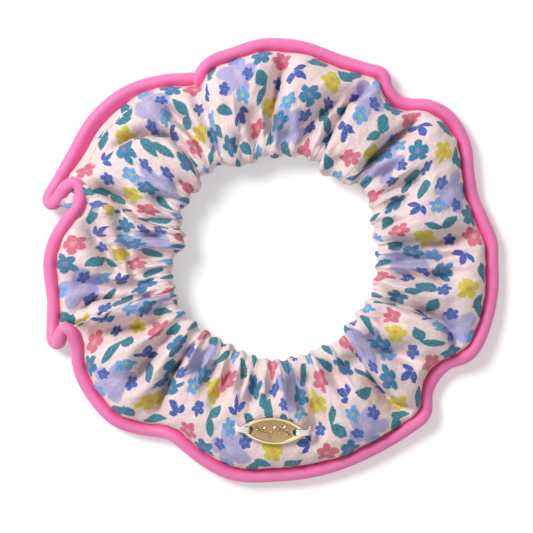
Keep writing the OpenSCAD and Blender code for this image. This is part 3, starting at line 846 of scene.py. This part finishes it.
def on_sleeve(points, cols, rows):
    """Places on the sleeve at fractions of a column and row, and the way out of the cloth."""
    def at(c, r):
        c0, r0 = np.floor(c).astype(int), np.floor(r).astype(int)
        fc, fr = (c - c0)[:, None], (r - r0)[:, None]
        def corner(dc, dr):
            return points[(c0 + dc) % COLS, (r0 + dr) % ROWS]
        return ((corner(0, 0) * (1 - fc) + corner(1, 0) * fc) * (1 - fr)
                + (corner(0, 1) * (1 - fc) + corner(1, 1) * fc) * fr)
    along = at(cols + 0.5, rows) - at(cols - 0.5, rows)
    across = at(cols, rows + 0.5) - at(cols, rows - 0.5)
    out = np.cross(across, along)
    return at(cols, rows), out / np.linalg.norm(out, axis=1)[:, None]


def stitches(name, places, out, lift, *nodes):
    """A row of machine stitches along places, lift above the cloth's face, each diving into
    the cloth at both ends."""
    step = 0.25
    row = np.column_stack([places, out])
    for k in range(6):
        row[2:-2, k] = np.convolve(row[:, k], np.full(5, 0.2), "valid")
    line, _ = resample(row, spacing=step)
    per_stitch, pitch = round(STITCH / step), round((STITCH + STITCH_GAP) / step)
    paths = []
    for first in range(0, len(line) - per_stitch, pitch):
        part = line[first:first + per_stitch + 1]
        rise = lift - 0.5 * np.abs(np.linspace(-1, 1, len(part))) ** 6
        paths.append(part[:, :3] + part[:, 3:6] * rise[:, None])
    piece = link(name, swept_mesh(name, paths, THREAD_R), THREAD)
    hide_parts(*nodes)
    drawn_open(piece)


def closing_row(points, seam):
    """The visible row along the pressed band, which closes the turning gap."""
    gap = np.flatnonzero((seam[:, 3] > CLOSING_ANGLES[0]) & (seam[:, 3] < CLOSING_ANGLES[1]))
    cols = np.linspace(gap[0], gap[-1], 120)
    rows = np.full(len(cols), CLOSING_IN / BAND[0][0])     # the band's first rows lie evenly
    places, out = on_sleeve(points, cols, rows)
    stitches("closing_row", places, out, 0.22, "closing_stitches")


def end_seam_row(points):
    """The row where the tube's two ends meet, sunk in its dip across the top leaf."""
    rows = np.linspace(2, ROWS // 2 - 2, 80)
    places, out = on_sleeve(points, np.zeros(len(rows)), rows)
    stitches("end_seam_row", places, out, -0.75, "end_seam_stitches")


# ---------------------------------------------------------------- piping
def inward_frames(path):
    """Each station's direction towards the ring's middle, and the one square to it."""
    tangent = np.gradient(path[:, :3], axis=0)
    tangent /= np.linalg.norm(tangent, axis=1)[:, None]
    inward = -path[:, :3]
    inward[:, 2] = 0
    kernel = np.hanning(9)[1:-1]
    for _ in range(3):
        inward = inward - tangent * np.sum(inward * tangent, 1)[:, None]
        inward /= np.linalg.norm(inward, axis=1)[:, None]
        for k in range(3):
            padded = np.pad(inward[:, k], 3, mode="edge")
            inward[:, k] = np.convolve(padded, kernel / kernel.sum(), "valid")
    inward -= tangent * np.sum(inward * tangent, 1)[:, None]
    inward /= np.linalg.norm(inward, axis=1)[:, None]
    return inward, np.cross(tangent, inward)


def piping_cover(path):
    """The bias strip round the cord, drawn in to a lip where it enters the seam."""
    inward, up = inward_frames(path)
    sides = 24
    beta = np.linspace(0, 2 * math.pi, sides, endpoint=False)
    from_seam = np.minimum(beta, 2 * math.pi - beta)
    station = np.arange(len(path))
    taper = np.minimum(1, 0.35 + np.minimum(station, station[::-1]) / 3)
    # Its lip stands 0.45 mm out, and 1 mm more where the turning gap left it loose.
    loose = smoothstep(-247, -238, path[:, 3]) * (1 - smoothstep(-212, -204, path[:, 3]))
    lip = (0.45 + loose)[:, None] * np.exp(-(from_seam / 0.42) ** 2)[None, :]
    r = PIPING_R * taper[:, None] + lip
    points = (path[:, None, :3] + r[..., None] * (np.cos(beta)[None, :, None] * inward[:, None, :]
                                                  + np.sin(beta)[None, :, None] * up[:, None, :]))
    mesh = grid_mesh("piping_tube", points * MM, False, lambda i, j: (i * MM, j / sides))
    piece = link("piping_tube", mesh, piping_satin())
    soften = piece.modifiers.new("soften", "SUBSURF")
    soften.levels = soften.render_levels = 1
    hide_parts("piping_cover_near", "piping_cover_far")
    drawn_open(piece)


def filler_cord(path):
    """The round cord that fills the cover, a little short of both its ends."""
    piece = link("filler_cord", swept_mesh("filler_cord", [path[2:-2]], CORD_R, 3),
                 spun_fibre("twisted_cotton_filler_cord", "#f7f3ea", "#ded7c8", 0.9, 0.9))
    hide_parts("piping_cord_near", "piping_cord_far")
    drawn_open(piece)


# ---------------------------------------------------------------- elastic and threads
def elastic_ring():
    """Flat braided elastic, standing on edge in the sleeve's inner fold."""
    around = np.linspace(90, -270, 240, endpoint=False)
    inner = elastic_radius(around)
    a = np.radians(around)
    flat_w = ELASTIC_W - 0.4                # between its rounded edges
    section = ((0, -0.5), (0.15, -0.53), (0.85, -0.53), (1, -0.5), (1, 0), (1, 0.5), (0.85, 0.53),
               (0.15, 0.53), (0, 0.5), (0, 0))
    corners = []
    for out, up in section:
        r = inner + out * ELASTIC_T
        z = np.full_like(a, ELASTIC_Z + up * flat_w)
        corners.append(np.column_stack([r * np.cos(a), r * np.sin(a), z]))
    length, girth = 2 * math.pi * ELASTIC_MEAN_R * MM, 2 * (ELASTIC_W + ELASTIC_T) * MM
    mesh = grid_mesh("elastic_ring", np.stack(corners, 1) * MM, True,
                     lambda i, j: (i / len(around) * length, j / len(section) * girth))
    piece = link("elastic_ring", mesh,
                 spun_fibre("braided_flat_elastic", "#f1ece0", "#d8cfbd", 0.7, 0.8))
    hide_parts("elastic_near", "elastic_far")
    drawn_open(piece)
    return piece


def tack_bars():
    """Three bars of thread over the elastic's overlapped ends."""
    paths = []
    for k in range(3):
        angle = TACK_ANGLE + TACK_PITCH * k
        a = math.radians(angle)
        z = np.linspace(-ELASTIC_W / 3, ELASTIC_W / 3, 9)
        bow = elastic_radius(angle - 360) + ELASTIC_T + 0.12 * (1 - (z / z[-1]) ** 4)
        paths.append(np.column_stack([bow * math.cos(a), bow * math.sin(a), ELASTIC_Z + z]))
    piece = link("elastic_tack_bars", swept_mesh("elastic_tack_bars", paths, THREAD_R), THREAD)
    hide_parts("elastic_join_tack")
    drawn_open(piece)


def seam_thread(points):
    """The thread that closes the sleeve, between its leaves beside the seam."""
    path = (points[:, 1] + points[:, -1]) / 2 * 0.4 + points[:, 0] * 0.6
    piece = link("inner_seam_thread", swept_mesh("inner_seam_thread", [path], THREAD_R, 1), THREAD)
    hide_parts("seam_thread_near", "seam_thread_far")
    drawn_open(piece)


# ---------------------------------------------------------------- tag
TAG_LOW, TAG_HIGH = (np.array(corner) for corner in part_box("tag_plate"))
TAG_AT = (TAG_LOW + TAG_HIGH) / 2
TAG_PLACE = (Matrix.Translation(Vector(TAG_AT)) @ Matrix.Rotation(math.radians(TAG_TURN), 4, "Z")
             @ Matrix.Rotation(math.radians(TAG_TILT), 4, "X") @ Matrix.Scale(MM, 4))
TAG_AXES = np.array(TAG_PLACE.to_3x3()) / MM


def on_tag(path):
    """Places in the tag's own frame, in millimetres, to the object's."""
    return np.array([TAG_PLACE @ Vector(p) for p in path]) / MM


def scroll(bm):
    """A leafy scroll in relief on the ground, of a stem, its leaves and its berries."""
    ground = TAG_T / 2 - TAG_GROUND

    def sway(x):
        return 0.62 * np.sin(x * math.pi / 3.1)

    # The plate is still in millimetres here, so what swept_mesh takes off is given first.
    x = np.linspace(-4.6, 4.6, 60)
    line = np.column_stack([x, sway(x), np.full_like(x, ground + 0.05)])
    stem = swept_mesh("stem", [line / MM], 0.17 / MM)
    bm.from_mesh(stem)
    bpy.data.meshes.remove(stem)
    for k in range(7):
        at = -3.9 + 1.3 * k
        side = 1 if k % 2 else -1
        lean = Matrix.Rotation(math.radians(side * 38), 4, "Z")
        spot = Matrix.Translation((at + 0.35, sway(at) + side * 0.75, ground))
        bmesh.ops.create_uvsphere(bm, u_segments=16, v_segments=8, radius=1.0,
                                  matrix=spot @ lean @ Matrix.Diagonal((0.85, 0.34, 0.24, 1)))
        berry = Matrix.Translation((at - 0.3, sway(at) - side * 0.55, ground))
        bmesh.ops.create_uvsphere(bm, u_segments=12, v_segments=6, radius=1.0,
                                  matrix=berry @ Matrix.Diagonal((0.22, 0.22, 0.2, 1)))


def almond(length, width, steps=28):
    """Where two equal circles overlap, as places in plan."""
    arc_r = (length ** 2 + width ** 2) / (4 * width)
    reach = math.asin(length / 2 / arc_r)
    turns = [reach * (1 - 2 * k / steps) for k in range(steps)]
    upper = [(arc_r * math.sin(a), arc_r * math.cos(a) - arc_r + width / 2) for a in turns]
    return upper + [(-x, -y) for x, y in upper]


def drill(bm):
    """Cut the two sewing holes through the plate."""
    bits = bmesh.new()
    for side in (1, -1):
        hole = Matrix.Translation((side * (TAG_L / 2 - TAG_HOLE_IN), 0, 0))
        bmesh.ops.create_cone(bits, cap_ends=True, segments=32, radius1=TAG_HOLE_R,
                              radius2=TAG_HOLE_R, depth=4 * TAG_T, matrix=hole)
    plate, cutter = (bpy.data.meshes.new(name) for name in ("plate", "cutter"))
    bm.to_mesh(plate)
    bits.to_mesh(cutter)
    bits.free()
    uncut = link("plate", plate)
    cut = uncut.modifiers.new("holes", "BOOLEAN")
    cut.operation = "DIFFERENCE"
    cut.solver = "EXACT"
    cut.object = link("cutter", cutter)
    done = uncut.evaluated_get(bpy.context.evaluated_depsgraph_get())
    drilled = bpy.data.meshes.new_from_object(done)
    bm.clear()
    bm.from_mesh(drilled)
    for mesh in (drilled, plate, cutter):
        bpy.data.meshes.remove(mesh)        # the working objects go with their meshes


def tag():
    """A die-struck almond plate: raised rim, sanded ground and a sewing hole at each tip."""
    bm = bmesh.new()

    def loop(places, z):
        verts = [bm.verts.new((x, y, z)) for x, y in places]
        return [bm.edges.new((v, verts[(k + 1) % len(verts)])) for k, v in enumerate(verts)]

    ground_z = TAG_T / 2 - TAG_GROUND
    ground_w = TAG_W - 2 * TAG_RIM
    ground_l = TAG_L * ground_w / TAG_W
    foot, brow, lip, ground = (loop(almond(long, wide), z) for long, wide, z in (
        (TAG_L, TAG_W, -TAG_T / 2), (TAG_L, TAG_W, TAG_T / 2), (ground_l, ground_w, TAG_T / 2),
        (ground_l - 0.2, ground_w - 0.2, ground_z)))
    for low, high in ((foot, brow), (brow, lip), (lip, ground)):
        bmesh.ops.bridge_loops(bm, edges=low + high)
    for border in (ground, foot):
        bmesh.ops.triangle_fill(bm, edges=border, use_beauty=True, use_dissolve=False)
    bmesh.ops.recalc_face_normals(bm, faces=bm.faces)
    sharp = [e for e in bm.edges if len(e.link_faces) == 2 and e.calc_face_angle() > 0.6]
    bmesh.ops.bevel(bm, geom=sharp, offset=0.1, segments=3, profile=0.5, affect="EDGES", material=-1,
                    clamp_overlap=True)
    drill(bm)
    scroll(bm)
    sunk = bm.verts.layers.float.new("ground")
    for v in bm.verts:
        v[sunk] = 1.0 if abs(v.co.z - ground_z) < 0.02 else 0.0
    bmesh.ops.transform(bm, matrix=TAG_PLACE, verts=bm.verts)
    mesh = bpy.data.meshes.new("almond_tag")
    bm.to_mesh(mesh)
    bm.free()
    mesh.set_sharp_from_angle(angle=math.radians(40))
    piece = link("almond_tag", mesh, gilt_brass())
    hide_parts("tag_plate")
    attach(piece, "tag")


def tag_thread(side, name, node):
    """Turns of thread up through a tip's hole, over the tip and down into the sleeve."""
    hole = TAG_L / 2 - TAG_HOLE_IN
    tip = TAG_L / 2 + 0.5                   # where the turns go down, just past the metal
    top = TAG_T / 2 + 0.46                  # height of the turns over the rim
    paths = []
    for k in range(4):
        y = (k - 1.5) * 0.4
        fan = y * 1.1 + 0.2
        turn = [[hole, y, -2.0], [hole, y, -0.3], [hole + 0.1, y, 0.6], [hole + 0.6, y, top],
                [tip - 0.5, fan * 0.8, top], [tip + 0.1, fan, 0.3], [tip + 0.3, fan, -0.8],
                [tip + 0.2, fan, -2.4]]
        paths.append(on_tag(spline([[side * x, y, z] for x, y, z in turn], 5)))
    piece = link(name, swept_mesh(name, paths, THREAD_R * 0.9), THREAD)
    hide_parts(node)
    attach(piece, "near_half")


# ---------------------------------------------------------------- the whole scrunchie
camera()
studio()
THREAD = spun_fibre("spun_polyester_thread", "#fbf9f6", "#dedad4", 0.75, 0.35)
route, _ = resample(polar_to_xyz(spline(ROUTE, 12)), spacing=1.0)
whole_route, _ = resample(polar_to_xyz(spline(JOIN_START + ROUTE + JOIN_END, 12)), spacing=1.0)
seam, cloth_length = seam_line(route, COLS)
points = sleeve_points(seam, cloth_length)
sleeve_piece = sleeve(points, cloth_length)
piping_cover(whole_route)
filler_cord(whole_route)
elastic_piece = elastic_ring()
tack_bars()
seam_thread(points)
closing_row(points, seam)
end_seam_row(points)
tag()
tag_thread(-1, "tag_tie_left", "tag_thread_left")
tag_thread(1, "tag_tie_right", "tag_thread_right")
